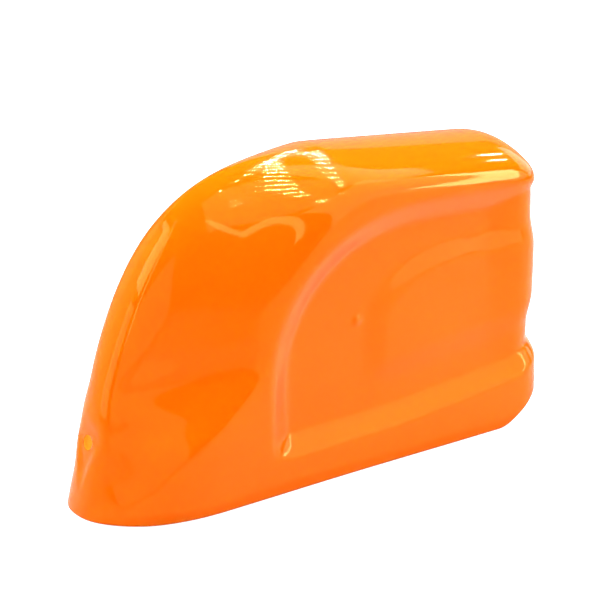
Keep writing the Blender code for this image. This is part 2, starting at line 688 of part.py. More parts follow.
def nose_bracket(paint):
    seat = bracket_seat()
    outward = seat.to_3x3().col[2]
    point = seat.translation
    up = Vector((outward.z, 0.0, -outward.x))
    top = point + up * BRACKET_OVERREACH
    foot = point - up * ((point.z - FOOT_FLOOR) / up.z)
    path = [(top.x, top.z), (foot.x, FOOT_FLOOR), (NOSE_X + BRACKET_FOOT_END, FOOT_FLOOR)]
    half = BRACKET_WIDTH / 2
    bracket = bent_strip("nose_bracket", path, "XZ", -half, half, paint)
    drill_foot(bracket, bracket_studs())
    shape = bmesh.new()
    reach = 3 * STRIP_THICKNESS
    add_cylinder(shape, RIVET_NUT_BODY_DIAMETER + 2 * BORE_CLEARANCE, -reach, reach, seat)
    boolean(bracket, cutter("rivet_nut_hole", shape))


def nose_rivet_nut(paint):
    flange, body, bore = (d / 2 for d in (RIVET_NUT_FLANGE_DIAMETER, RIVET_NUT_BODY_DIAMETER,
                                          RIVET_NUT_BORE_DIAMETER))
    front, back = GAP + RIVET_NUT_FLANGE_THICKNESS, -RIVET_NUT_LENGTH
    profile = [(bore, front), (flange, front), (flange, GAP), (body, GAP), (body, back), (bore, back)]
    nut = add_object("nose_rivet_nut", turned_profile("nose_rivet_nut", profile), paint)
    nut.matrix_world = bracket_seat()
    turn(nut)


def tongue_rear():
    """Distance behind the nose tip of the rear face of the tongue's bonding flange."""
    heights = [FLANGE_FOOT + (FLANGE_TOP - FLANGE_FOOT) * i / 8 for i in range(9)]
    half = COWL_HALF_WIDTH - SIDE_DRAFT * FLANGE_TOP
    bow = TAIL_REACH * (1.0 - (1.0 - (TONGUE_WIDTH / 2 / half) ** TAIL_ROUNDNESS) ** (1 / TAIL_ROUNDNESS))
    return min(tail_inside(h) for h in heights) - bow - BOND_THICKNESS - 2 * GAP


def tail_tongue(paint):
    """Flange bonded to the tail wall, stepped forward to a tongue that hangs down."""
    rear = NOSE_X + tongue_rear()
    front = rear - TONGUE_SETBACK
    tip = KEEPER_SHELF_HEIGHT - STRIP_THICKNESS - TONGUE_DEPTH
    path = [(front, tip), (front, FLANGE_FOOT - TONGUE_SETBACK), (rear, FLANGE_FOOT), (rear, FLANGE_TOP)]
    half = TONGUE_WIDTH / 2
    bent_strip("tail_tongue", path, "XZ", -half, half, paint, TONGUE_THICKNESS)


def tongue_bond_pad(paint):
    rear = NOSE_X + tongue_rear() + GAP
    half = TONGUE_WIDTH / 2 - GAP
    shape = bmesh.new()
    add_box(shape, (rear, -half, FLANGE_FOOT + GAP), (rear + BOND_THICKNESS, half, FLANGE_TOP - GAP))
    add_object("tongue_bond_pad", mesh_from_bmesh("tongue_bond_pad", shape), paint)


def tail_keeper(paint):
    """Bracket whose slotted shelf holds the tongue."""
    tongue = NOSE_X + tongue_rear() - TONGUE_SETBACK
    start = keeper_upright()
    path = [(tongue + KEEPER_SHELF_REAR, KEEPER_SHELF_HEIGHT), (start, KEEPER_SHELF_HEIGHT),
            (start, FOOT_TOP), (start - KEEPER_FOOT, FOOT_TOP)]
    half = KEEPER_WIDTH / 2
    keeper = bent_strip("tail_keeper", path, "XZ", -half, half, paint)
    shape = bmesh.new()
    across = TONGUE_WIDTH / 2 + SLOT_CLEARANCE
    front, reach = tongue - TONGUE_THICKNESS - SLOT_CLEARANCE, 3 * STRIP_THICKNESS
    add_box(shape, (front, -across, KEEPER_SHELF_HEIGHT - reach),
            (tongue + SLOT_CLEARANCE, across, KEEPER_SHELF_HEIGHT + reach))
    boolean(keeper, cutter("keeper_slot", shape))
    drill_foot(keeper, keeper_studs())


def crown_path(s, depth, half, steps):
    """Curve across the cowl that keeps a depth below the inside of the crown."""
    points = []
    for i in range(steps + 1):
        y = half - 2 * half * i / steps
        low = min(crown_inside(s + side * HOOP_WIDTH / 2, abs(y)) for side in (-1, 1))
        points.append((y, low - depth))
    return points


def hoop_strip(end, paint):
    """Bent strip: two feet turned inwards, two uprights and a bridge that follows the crown."""
    s = HOOP_STATIONS[end]
    bridge = crown_path(s, CROWN_CLEARANCE + BUFFER_THICKNESS + GAP, hoop_half_span() - HOOP_CORNER, 6)
    top = bridge[0][1]
    outer, bend = hoop_half_span(), HOOP_CORNER
    turns = [math.pi / 2 * i / 5 for i in range(5)]
    corner = [(outer - bend + bend * math.cos(a), top - bend + bend * math.sin(a)) for a in turns]
    side = [(outer - STRIP_THICKNESS - HOOP_FOOT_LENGTH, FOOT_FLOOR), (outer, FOOT_FLOOR)] + corner
    path = side + bridge + [(-y, z) for y, z in reversed(side)]
    x = NOSE_X + s
    strip = bent_strip(f"{end}_hoop", path, "YZ", x - HOOP_WIDTH / 2, x + HOOP_WIDTH / 2, paint)
    drill_foot(strip, hoop_studs(end))


def hoop_buffer(end, paint):
    s = HOOP_STATIONS[end]
    x = NOSE_X + s
    path = crown_path(s, CROWN_CLEARANCE, BUFFER_HALF_WIDTH, 6)
    bent_strip(f"{end}_hoop_buffer", path, "YZ", x - HOOP_WIDTH / 2, x + HOOP_WIDTH / 2, paint,
               BUFFER_THICKNESS)


def side_guides(paint):
    half_length, half_width = GUIDE_LENGTH / 2, GUIDE_WIDTH / 2
    top = FOOT_FLOOR + GUIDE_HEIGHT
    for name, (x, y) in guide_places().items():
        shape = bmesh.new()
        add_box(shape, (x - half_length, y - half_width, FOOT_FLOOR), (x + half_length, y + half_width, top))
        guide = add_object("side_guide_" + name, mesh_from_bmesh("side_guide", shape), paint)
        bevel(guide, GUIDE_ROUNDING)
        seat = top - GUIDE_ROUNDING - SCREW_HEAD_THICKNESS - GAP
        room = 2 * BORE_CLEARANCE
        drill(guide, name + "_screw_seat", [(x, y)], SCREW_HEAD_DIAMETER + room, seat, 2 * top)
        drill(guide, name + "_screw_bore", [(x, y)], SCREW_DIAMETER + room, PLATE_FLOOR, 2 * top)


def guide_screws(paint):
    top = FOOT_FLOOR + GUIDE_HEIGHT - GUIDE_ROUNDING
    neck = top - SCREW_HEAD_THICKNESS
    head, shank, socket = SCREW_HEAD_DIAMETER / 2, SCREW_DIAMETER / 2, SCREW_DIAMETER / 3
    floor = top - SCREW_HEAD_THICKNESS / 2
    profile = [(0.0, floor), (socket, floor), (socket, top), (head, top), (head, neck), (shank, neck),
               (shank, PLATE_FLOOR), (0.0, PLATE_FLOOR)]
    mesh = turned_profile("guide_screw", profile)
    mesh.materials.append(paint)
    for name, (x, y) in guide_places().items():
        turn(place(add_object("guide_screw_" + name, mesh), x, y), 16)


def frame_studs(names, paint):
    head, shank, chamfer = STUD_HEAD_DIAMETER / 2, STUD_DIAMETER / 2, STUD_DIAMETER / 8
    profile = [(0.0, STUD_TOP), (shank - chamfer, STUD_TOP), (shank, STUD_TOP - chamfer),
               (shank, MAT_THICKNESS), (head, MAT_THICKNESS), (head, MAT_THICKNESS - STUD_HEAD_THICKNESS),
               (0.0, MAT_THICKNESS - STUD_HEAD_THICKNESS)]
    mesh = turned_profile("frame_stud", profile)
    mesh.materials.append(paint)
    for name, (x, y) in names.items():
        turn(place(add_object("stud_" + name, mesh), x, y))


def frame_nuts(names, paint):
    """Hexagon nuts with a flange, all from one mesh."""
    shape = bmesh.new()
    corner = NUT_ACROSS_FLATS / math.sqrt(3)
    bmesh.ops.create_cone(shape, cap_ends=True, segments=6, radius1=corner, radius2=corner,
                          depth=NUT_THICKNESS, matrix=Matrix.Translation((0.0, 0.0, NUT_THICKNESS / 2)))
    first = add_object("nut", mesh_from_bmesh("nut", shape))
    shape = bmesh.new()
    add_cylinder(shape, NUT_FLANGE_DIAMETER, 0.0, NUT_FLANGE_THICKNESS)
    boolean(first, cutter("nut_flange", shape), "UNION")
    shape = bmesh.new()
    add_cylinder(shape, STUD_DIAMETER + 2 * BORE_CLEARANCE, -NUT_THICKNESS, 2 * NUT_THICKNESS)
    boolean(first, cutter("nut_bore", shape))
    graph = bpy.context.evaluated_depsgraph_get()
    mesh = bpy.data.meshes.new_from_object(first.evaluated_get(graph))
    mesh.materials.append(paint)
    bpy.data.objects.remove(first)
    for name, (x, y) in names.items():
        place(add_object("nut_" + name, mesh), x, y, NUT_FLOOR)


def named_studs():
    names = {}
    for end, spots in (("nose_bracket", bracket_studs()), ("tail_keeper", keeper_studs()),
                       ("front_hoop", hoop_studs("front")), ("rear_hoop", hoop_studs("rear"))):
        hands = ("front", "rear") if end == "nose_bracket" else ("right", "left")
        for hand, spot in zip(hands, spots):
            names[f"{end}_{hand}"] = spot
    return names


def build():
    clear_scene()
    orange = material("orange_thermoplastic", (1.0, 0.21, 0.01), 0.12)
    galvanised = material("galvanised_steel", (0.66, 0.67, 0.68), 0.5, 0.6)
    zinc = material("zinc_plated_steel", (0.62, 0.63, 0.65), 0.32, 1.0)
    rubber = material("black_rubber", (0.02, 0.02, 0.02), 0.8)
    bond = material("bonding_tape", (0.09, 0.09, 0.09), 0.7)
    cowl_shell(orange)
    tail_tongue(zinc)
    tongue_bond_pad(bond)
    base_mat(rubber)
    base_plate(galvanised)
    nose_bracket(zinc)
    nose_rivet_nut(zinc)
    tail_keeper(zinc)
    for end in HOOP_STATIONS:
        hoop_strip(end, galvanised)
        hoop_buffer(end, rubber)
    side_guides(rubber)
    guide_screws(zinc)
    frame_studs(named_studs(), zinc)
    frame_nuts(named_studs(), zinc)


build()
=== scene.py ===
"""Looks of the barrier nose cover: a glossy orange moulded cowl over a low bolted steel frame."""
import json
import math

import bmesh
import bpy
import numpy as np
from mathutils import Matrix, Vector

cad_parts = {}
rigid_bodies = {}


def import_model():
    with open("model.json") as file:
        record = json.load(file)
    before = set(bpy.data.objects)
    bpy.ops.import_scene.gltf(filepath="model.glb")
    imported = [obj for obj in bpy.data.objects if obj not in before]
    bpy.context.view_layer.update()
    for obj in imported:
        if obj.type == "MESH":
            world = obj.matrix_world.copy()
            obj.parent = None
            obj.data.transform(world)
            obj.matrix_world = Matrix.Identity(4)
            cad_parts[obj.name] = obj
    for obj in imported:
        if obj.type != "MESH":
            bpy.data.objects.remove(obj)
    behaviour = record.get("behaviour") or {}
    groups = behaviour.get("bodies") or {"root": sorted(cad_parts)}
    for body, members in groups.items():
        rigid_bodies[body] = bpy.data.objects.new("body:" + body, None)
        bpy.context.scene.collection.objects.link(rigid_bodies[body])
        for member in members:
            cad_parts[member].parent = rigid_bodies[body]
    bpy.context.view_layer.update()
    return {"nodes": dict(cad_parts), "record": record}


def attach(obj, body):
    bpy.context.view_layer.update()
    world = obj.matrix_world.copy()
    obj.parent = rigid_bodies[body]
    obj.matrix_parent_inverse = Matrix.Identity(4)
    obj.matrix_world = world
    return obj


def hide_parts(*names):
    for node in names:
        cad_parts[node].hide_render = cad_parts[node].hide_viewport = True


for item in list(bpy.data.objects):
    bpy.data.objects.remove(item, do_unlink=True)

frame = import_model()

# ---------------------------------------------------------------- cowl, driving sizes
COWL_LENGTH = 0.416
COWL_HALF_WIDTH = 0.060
COWL_WALL = 0.003
WAIST = 0.0012              # how far each side draws in midway along
WAIST_CENTRE = 0.215
WAIST_REACH = 0.085
SIDE_DRAFT = 0.018          # lean of the side walls, metres per metre of height
TAIL_DRAFT = 0.0202         # lean of the tail wall
NOSE_REACH = 0.0996         # length of the rounded nose in plan
NOSE_ROUNDNESS = 2.18       # exponent of the nose outline in plan
NOSE_SETBACK = 0.0032       # how far the tip of that outline lies behind the spine
NOSE_TIP_LIMIT = 0.8        # furthest that this tip moves back with height, as a share of the reach
TAIL_REACH = 0.0357         # length of the rounded tail in plan
TAIL_ROUNDNESS = 2.32       # exponent of the tail outline in plan
CROWN_HEIGHT = 0.249
CROWN_START = 0.2206        # distance behind the nose tip where the spine has become the crown
CROWN_FALL = 0.1154         # fall of the crown towards the tail, metres per metre
CROWN_RADIUS = 0.0873       # cross radius of the crown
DOME_RADIUS = 0.0315        # cross radius of the shoulders above the cheeks
DOME_PEAK = 0.0078          # how far past the middle plane the centre of that radius lies
DOME_SINK = 0.0004          # how far the shoulders would peak below the spine
DOME_REACH = (0.130, 0.250)  # where, behind the nose tip, the shoulders change into the crown
SPINE_SINK = 1.04           # depth below the ground of the centre of the spine curve
SPINE_ROUNDNESS = 3.35      # exponent of the spine curve along X
CROWN_ROUNDNESS = 5.97      # exponent of the spine curve along Z
SPINE_RADIUS_LOW = 0.0337   # cross radius of the nose at the ground
SPINE_RADIUS_HIGH = 0.0169  # cross radius of the nose at the top of the spine
SPINE_BLEND_HEIGHT = 0.125  # height at which the cross radius has reached the upper value
REAR_RADIUS = 0.042         # rounding between the crown and the tail wall
CREASE_BLEND = 0.0032       # softness of the edge between cheek and side
SHOULDER_BLEND = 0.0040     # softness of the edge between side and crown
SPINE_BLEND = 0.0012        # softness of the edges of the spine's band
REAR_BLEND = 0.0017         # softness where the crown meets its rear rounding

# How fast each cheek runs in towards the nose, metres per metre, by share of the crown's height.
CHEEK_SLOPES = ((-0.04, 1.27), (0.11, 1.02), (0.22, 0.67), (0.30, 0.478),
                (0.40, 0.385), (0.60, 0.31), (1.00, 0.34))
# Distance behind the nose tip at which the cheek meets the flat side, by the same share.
CHEEK_CREASE = ((-0.04, 0.031), (0.11, 0.0515), (0.22, 0.075), (0.30, 0.1035), (0.40, 0.136),
                (0.52, 0.155), (0.70, 0.185), (0.85, 0.218), (1.00, 0.266))

HEEL_LIFT = 0.0286          # how far the lower edge is cut away at the tail
HEEL_START = 0.0579         # length of that cut, from the tail
FOOT_GAP = 0.0004           # between the rest of the lower edge and the ground

# ---------------------------------------------------------------- arched recess in the cowl
RECESS_DEPTH = 0.0095
# Share of that depth left where the recess runs round the tail, by height.
RECESS_TAIL_SHARES = ((0.055, 0.85), (0.120, 0.52), (0.190, 0.40))
RECESS_WALL = 0.0195        # width of the sloping wall round the arch
RECESS_TAIL_WALL = 0.0070   # width of that wall under the lip at the tail
LEDGE_RISE = 0.0135         # height of the sloping ledge along the bottom of the recess
ARCH_FRONT = 0.1410         # distance behind the nose tip of the foremost point of the arch
ARCH_SPRING = (0.285, 0.080)  # where the arch's curve starts: behind the nose tip, above ground
ARCH_TOP = 0.2055
ARCH_ROUNDNESS = 2.15
LIP_FALL = 0.012            # fall of the lip line between the arch spring and the tail
PLINTH_HEIGHT = 0.0283
PLINTH_RISE = 0.105         # rise of the plinth towards the tail, metres per metre
PLINTH_RISE_START = 0.250
PLINTH_RISE_BLEND = 0.020
PLINTH_LIFT = 0.016         # further rise where the plinth runs round the tail
PLINTH_LIFT_START = 0.061   # ahead of the tail
KNEE = 0.07                 # rounding of the recess's edges, as a share of the wall

# Raised panel inside the recess.
PILLOW_HEIGHT = 0.0032
PILLOW_FRONT = 0.228
PILLOW_SPRING = (0.335, 0.110)
PILLOW_TOP = 0.170
PILLOW_FOOT = 0.058
PILLOW_EDGE = 0.026

# Small pip on the floor of the recess.
PIP_CENTRE = (0.226, 0.119)
PIP_RADIUS = 0.0060
PIP_HEIGHT = 0.0016

# Fixing hole in the nose, with the shallow pad round it.
HOLE_DIAMETER = 0.011
HOLE_HEIGHT = 0.0565
PAD_RADIUS = 0.019
PAD_DEPTH = 0.0022
PAD_FLAT = 0.35             # share of the pad's radius that is at full depth
PAD_TAPER = 0.45            # how fast the pad runs out below the hole, against the other ways

# Shares that turn the slanted and the curved fields into rough distances.
CHEEK_SCALE = 0.8
SPINE_SCALE = 0.75


def smooth_step(value):
    value = np.clip(value, 0.0, 1.0)
    return value * value * (3.0 - 2.0 * value)


def soft_max(a, b, blend):
    top = np.maximum(a, b)
    return top + blend * np.log(np.exp((a - top) / blend) + np.exp((b - top) / blend))


def soft_ramp(value, knee=KNEE):
    """Rise from 0 to 1 as value goes from 0 to 1, with rounded ends."""
    start = np.logaddexp(0.0, value / knee)
    end = np.logaddexp(0.0, (value - 1.0) / knee)
    return (start - end) * knee


def through(points, value):
    """Smooth monotone curve through the points."""
    xs = np.array([p[0] for p in points])
    ys = np.array([p[1] for p in points])
    slopes = np.gradient(ys, xs)
    span = np.clip(np.searchsorted(xs, value) - 1, 0, len(xs) - 2)
    width = xs[span + 1] - xs[span]
    t = np.clip((value - xs[span]) / width, 0.0, 1.0)
    return ((2 * t**3 - 3 * t**2 + 1) * ys[span] + (t**3 - 2 * t**2 + t) * width * slopes[span]
            + (3 * t**2 - 2 * t**3) * ys[span + 1] + (t**3 - t**2) * width * slopes[span + 1])


def spine_span():
    """Length of the spine curve's half axis along X, so that the curve starts at the nose tip."""
    share = (SPINE_SINK / (CROWN_HEIGHT + SPINE_SINK)) ** CROWN_ROUNDNESS
    return CROWN_START / (1.0 - share) ** (1.0 / SPINE_ROUNDNESS)


def spine_position(height):
    """Distance behind the nose tip of the spine at a height."""
    share = np.clip((height + SPINE_SINK) / (CROWN_HEIGHT + SPINE_SINK), 0.0, 0.9999)
    return CROWN_START - spine_span() * (1.0 - share**CROWN_ROUNDNESS) ** (1.0 / SPINE_ROUNDNESS)


def plan_field(s, across, height):
    """Signed distance to the wall on the base outline; s runs back from the nose tip."""
    waist = WAIST * np.exp(-(((s - WAIST_CENTRE) / WAIST_REACH) ** 2))
    half = COWL_HALF_WIDTH - SIDE_DRAFT * height - waist
    tip = np.minimum(spine_position(height) + NOSE_SETBACK, NOSE_REACH * NOSE_TIP_LIMIT)
    tail_end = COWL_LENGTH - TAIL_DRAFT * height
    nose = np.clip((NOSE_REACH - s) / (NOSE_REACH - tip), 0.0, None)
    tail = np.clip((s - tail_end + TAIL_REACH) / TAIL_REACH, 0.0, None)
    nose_ring = (nose**NOSE_ROUNDNESS + (across / half) ** NOSE_ROUNDNESS) ** (1 / NOSE_ROUNDNESS)
    tail_ring = (tail**TAIL_ROUNDNESS + (across / half) ** TAIL_ROUNDNESS) ** (1 / TAIL_ROUNDNESS)
    return (np.where(s < COWL_LENGTH / 2, nose_ring, tail_ring) - 1.0) * half


def cheek_field(s, across, height):
    level = height / CROWN_HEIGHT
    limit = COWL_HALF_WIDTH - through(CHEEK_SLOPES, level) * (through(CHEEK_CREASE, level) - s)
    return (across - limit) * CHEEK_SCALE


def profile(s, behind, above):
    """Signed distance to spine, crown and rear rounding, drawn as one curve in the XZ plane."""
    top = CROWN_HEIGHT - CROWN_FALL * np.clip(s - CROWN_START, 0.0, None)
    run = np.clip((CROWN_START - behind) / spine_span(), 0.0, None)
    climb = np.clip(above + SPINE_SINK, 0.0, None) / (top + SPINE_SINK)
    front = ((run**SPINE_ROUNDNESS + climb**CROWN_ROUNDNESS) ** (1 / CROWN_ROUNDNESS) - 1.0)
    front = front * (top + SPINE_SINK) * SPINE_SCALE
    rear_end = COWL_LENGTH - TAIL_DRAFT * (CROWN_HEIGHT - REAR_RADIUS) + REAR_BLEND
    over = np.clip(s - rear_end + REAR_RADIUS, 0.0, None)
    up = np.clip(above - top + REAR_RADIUS, 0.0, None)
    rear = np.sqrt(over**2 + up**2) - REAR_RADIUS
    return soft_max(front, rear, REAR_BLEND)


def spine_field(s, across, height):
    """The band that runs up the nose and over the top, with its own cross radius."""
    rise = smooth_step(height / SPINE_BLEND_HEIGHT)
    radius = SPINE_RADIUS_LOW + (SPINE_RADIUS_HIGH - SPINE_RADIUS_LOW) * rise
    return profile(s, s - across**2 / (2 * radius), height + across**2 / (2 * CROWN_RADIUS))


def dome_field(s, across, height):
    """Rounded shoulders above the cheeks, which run out into the crown."""
    near, far = DOME_REACH
    change = smooth_step((s - near) / (far - near))
    radius = DOME_RADIUS + (CROWN_RADIUS - DOME_RADIUS) * change
    peak = DOME_PEAK * (1.0 - change)
    fall = ((across + peak) ** 2 - peak**2) / (2 * radius)
    return profile(s, s, height + fall + DOME_SINK * (1.0 - change))


def body_field(s, across, height):
    """Signed distance to the plain body, before the recess is pressed in; negative inside."""
    walls = soft_max(plan_field(s, across, height), cheek_field(s, across, height), CREASE_BLEND)
    sides = soft_max(walls, dome_field(s, across, height), SHOULDER_BLEND)
    return soft_max(sides, spine_field(s, across, height), SPINE_BLEND)


CAST_REACH = 0.40           # further than any point of the body lies from its axis
CAST_ROUNDS = 34            # halvings of that reach


def cast(start, direction):
    """Distance from each start point to the plain body's surface along each direction."""
    low = np.zeros(start.shape[:-1])
    high = np.full(start.shape[:-1], CAST_REACH)
    for _ in range(CAST_ROUNDS):
        middle = (low + high) / 2
        at = start + direction * middle[..., None]
        outside = body_field(at[..., 0], np.abs(at[..., 1]), at[..., 2]) > 0.0
        high = np.where(outside, middle, high)
        low = np.where(outside, low, middle)
    return (low + high) / 2


def lip_height(s):
    run = np.clip(s - ARCH_SPRING[0], 0, None) / (COWL_LENGTH - ARCH_SPRING[0])
    return ARCH_TOP - LIP_FALL * run**2


def plinth_height(s):
    soft = PLINTH_RISE_BLEND * np.logaddexp(0.0, (s - PLINTH_RISE_START) / PLINTH_RISE_BLEND)
    lift = PLINTH_LIFT * smooth_step((s - COWL_LENGTH + PLINTH_LIFT_START) / PLINTH_LIFT_START)
    return PLINTH_HEIGHT + PLINTH_RISE * soft + lift


TINY = 1e-6


def inside_arch(s, height, front, spring, top, roundness):
    """Distance inside an arch that rises from its front and runs on level behind its spring."""
    run = np.clip(spring[0] - s, 0.0, None) / (spring[0] - front)
    climb = np.clip(height - spring[1], 0.0, None) / (top - spring[1])
    ring = (run**roundness + climb**roundness) ** (1 / roundness)
    reach = run * (spring[0] - front) + climb * (top - spring[1])
    scale = np.where(ring > TINY, reach / np.maximum(run + climb, TINY), 1.0)
    return (1.0 - ring) * scale


def recess_depth(s, height):
    """How far the wall is pressed in at a place on the side or the tail."""
    at_tail = smooth_step((s - COWL_LENGTH + 2 * TAIL_REACH) / TAIL_REACH)
    wall = RECESS_WALL + (RECESS_TAIL_WALL - RECESS_WALL) * at_tail
    arch = inside_arch(s, height, ARCH_FRONT, ARCH_SPRING, lip_height(s), ARCH_ROUNDNESS)
    arch = soft_ramp(arch / wall)
    ledge = soft_ramp((height - plinth_height(s)) / LEDGE_RISE)
    share = 1.0 - (1.0 - through(RECESS_TAIL_SHARES, height)) * at_tail
    depth = RECESS_DEPTH * share * arch * ledge
    pillow = inside_arch(s, height, PILLOW_FRONT, PILLOW_SPRING, PILLOW_TOP, ARCH_ROUNDNESS)
    pillow = smooth_step(pillow / PILLOW_EDGE)
    foot = smooth_step((height - plinth_height(s) + PLINTH_HEIGHT - PILLOW_FOOT) / PILLOW_EDGE)
    depth = depth - PILLOW_HEIGHT * pillow * foot
    away = np.hypot(s - PIP_CENTRE[0], height - PIP_CENTRE[1]) / PIP_RADIUS
    return depth - PIP_HEIGHT * (1.0 - smooth_step(away))


def pad_depth(across, height):
    """Shallow pad round the fixing hole, which runs out in a V below it."""
    below = np.clip(HOLE_HEIGHT - height, 0.0, None)
    above = np.clip(height - HOLE_HEIGHT, 0.0, None)
    away = np.hypot(across * (1.0 + below / PAD_RADIUS), above + below * PAD_TAPER) / PAD_RADIUS
    return PAD_DEPTH * (1.0 - smooth_step((away - PAD_FLAT) / (1.0 - PAD_FLAT)))


# Axis that the surface is measured from: it lies in the middle plane, inside the body.
NOSE_X = -COWL_LENGTH / 2
AXIS_FRONT_LOW = 0.100
AXIS_FRONT_HIGH = 0.145
TAIL_AXIS_SETBACK = 0.067
AXIS_REAR = COWL_LENGTH - TAIL_AXIS_SETBACK
AXIS_TOP = 0.192


def hit(axis, turn, level, tilt):
    """Point of the outer skin along a ray from the axis, turned round it and tilted up."""
    start = np.stack([axis, 0 * axis, level], -1)
    direction = np.stack([-np.cos(turn) * np.cos(tilt), -np.sin(turn) * np.cos(tilt),
                          np.sin(tilt)], -1)
    far = cast(start, direction)
    plain = start + direction * far[..., None]
    right = math.pi / 2
    round_tail = AXIS_REAR + far * (turn - right) / right * np.cos(tilt)
    pressed = recess_depth(np.where(turn > right, round_tail, plain[..., 0]), plain[..., 2])
    nose = np.where(plain[..., 0] < ARCH_FRONT / 2, pad_depth(plain[..., 1], plain[..., 2]), 0.0)
    return plain - direction * (pressed + nose)[..., None]


def heel_height(s):
    return FOOT_GAP + HEEL_LIFT * smooth_step((s - COWL_LENGTH + HEEL_START) / HEEL_START)


def spread(count, share):
    """Steps from 0 to 1 that are closer together towards 0."""
    t = np.linspace(0.0, 1.0, count + 1)
    return share * t + (1 - share) * t * t


NOSE_COLUMNS, SIDE_COLUMNS, TAIL_COLUMNS = 56, 100, 40
WALL_ROWS, CROWN_ROWS = 130, 56
NOSE_SPREAD = 0.6           # first step round the nose, as a share of an even step
FOOT_ROUNDS = 4             # rounds that bring the foot of each column onto the lower edge


def cowl_skin():
    """Half of the cowl's outer skin as a grid of points: columns round it, rows up and over it."""
    right = math.pi / 2
    along = np.concatenate([np.zeros(NOSE_COLUMNS), np.arange(SIDE_COLUMNS) / SIDE_COLUMNS,
                            np.ones(TAIL_COLUMNS + 1)])
    turn = np.concatenate([right * spread(NOSE_COLUMNS, NOSE_SPREAD)[:-1],
                           np.full(SIDE_COLUMNS, right),
                           right * (1 + np.arange(TAIL_COLUMNS + 1) / TAIL_COLUMNS)])
    foot = np.zeros_like(along)
    for _ in range(FOOT_ROUNDS):
        axis = AXIS_FRONT_LOW + (AXIS_REAR - AXIS_FRONT_LOW) * along
        foot = heel_height(hit(axis, turn, foot, 0 * foot)[:, 0])
    up = np.linspace(0.0, 1.0, WALL_ROWS + 1)[None, :-1]
    level = foot[:, None] + (AXIS_TOP - foot[:, None]) * up
    level = np.concatenate([level, np.full((len(along), CROWN_ROWS + 1), AXIS_TOP)], axis=1)
    tilt = np.concatenate([np.zeros(WALL_ROWS), right * np.arange(CROWN_ROWS + 1) / CROWN_ROWS])
    tilt = tilt[None, :] + 0 * level
    front = AXIS_FRONT_LOW + (AXIS_FRONT_HIGH - AXIS_FRONT_LOW) * np.clip(level / AXIS_TOP, 0, 1)
    axis = front + (AXIS_REAR - front) * along[:, None]
    skin = hit(axis, turn[:, None] + 0 * level, level, tilt)
    skin[..., 0] += NOSE_X
    skin[:, -1, 1] = 0.0
    skin[0, :, 1] = 0.0
    skin[-1, :, 1] = 0.0
    return skin


def skin_mesh(name, skin):
    columns, rows = skin.shape[:2]
    index = np.arange(columns * rows).reshape(columns, rows)
    quads = np.stack([index[:-1, :-1], index[1:, :-1], index[1:, 1:], index[:-1, 1:]], -1)
    mesh = bpy.data.meshes.new(name)
    mesh.from_pydata([tuple(p) for p in skin.reshape(-1, 3)], [],
                     [tuple(q) for q in quads.reshape(-1, 4)])
    mesh.update()
    return mesh


def nose_hole():
    """Matrix whose origin is on the outer skin at the fixing hole and whose Z points outwards."""
    step = HOLE_DIAMETER / 2
    lean = (spine_position(HOLE_HEIGHT + step) - spine_position(HOLE_HEIGHT - step)) / (2 * step)
    outward = Vector((-1.0, 0.0, float(lean))).normalized()
    centre = Vector((NOSE_X + float(spine_position(HOLE_HEIGHT)) + PAD_DEPTH, 0.0, HOLE_HEIGHT))
    return Matrix.Translation(centre) @ outward.to_track_quat("Z", "X").to_matrix().to_4x4()


def link(item):
    bpy.context.scene.collection.objects.link(item)
    return item


INSIDE_SLOT = 1
SEAM_MERGE = 0.00005
HOLE_SEGMENTS = 40
SHARP_ANGLE = math.radians(50.0)


def hole_tool(outside, inside):
    """Cylinder that cuts the fixing hole and gives its wall the inner material."""
    shape = bmesh.new()
    bmesh.ops.create_cone(shape, cap_ends=True, segments=HOLE_SEGMENTS,
                          radius1=HOLE_DIAMETER / 2, radius2=HOLE_DIAMETER / 2,
                          depth=6 * COWL_WALL, matrix=nose_hole())
    for face in shape.faces:
        face.material_index = INSIDE_SLOT
    mesh = bpy.data.meshes.new("hole_tool")
    shape.to_mesh(mesh)
    shape.free()
    mesh.materials.append(outside)
    mesh.materials.append(inside)
    tool = link(bpy.data.objects.new("hole_tool", mesh))
    tool.hide_render = True
    tool.display_type = "WIRE"
    return tool


def build_shell(outside, inside):
    """The cowl: its half skin mirrored, thickened inwards and cut, kept as one plain mesh."""
    shell = link(bpy.data.objects.new("cowl_skin", skin_mesh("cowl_skin", cowl_skin())))
    shell.data.materials.append(outside)
    shell.data.materials.append(inside)
    mirror = shell.modifiers.new("other_half", "MIRROR")
    mirror.use_axis = (False, True, False)
    mirror.merge_threshold = SEAM_MERGE
    wall = shell.modifiers.new("wall", "SOLIDIFY")
    wall.thickness = COWL_WALL
    wall.offset = -1.0
    wall.material_offset = INSIDE_SLOT
    hole = shell.modifiers.new("nose_fixing_hole", "BOOLEAN")
    hole.operation = "DIFFERENCE"
    hole.solver = "EXACT"
    hole.object = hole_tool(outside, inside)
    shell.data.shade_smooth()
    shell.data.set_sharp_from_angle(angle=SHARP_ANGLE)
    graph = bpy.context.evaluated_depsgraph_get()
    made = bpy.data.meshes.new_from_object(shell.evaluated_get(graph))
    made.validate()              # the cut leaves one triangle twice
    shell.modifiers.clear()
    shell.data = made
    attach(shell, "cowl")
    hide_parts("cowl_shell")
    return shell


# ---------------------------------------------------------------- materials
def nodes_of(name):
    made = bpy.data.materials.new(name)
    made.use_nodes = True
    tree = made.node_tree
    return made, tree, tree.nodes["Principled BSDF"]


def noise(tree, scale, detail=2.0, roughness=0.5):
    coordinates = tree.nodes.new("ShaderNodeTexCoord")
    texture = tree.nodes.new("ShaderNodeTexNoise")
    texture.inputs["Scale"].default_value = scale
    texture.inputs["Detail"].default_value = detail
    texture.inputs["Roughness"].default_value = roughness
    tree.links.new(coordinates.outputs["Object"], texture.inputs["Vector"])
    return texture.outputs["Fac"]


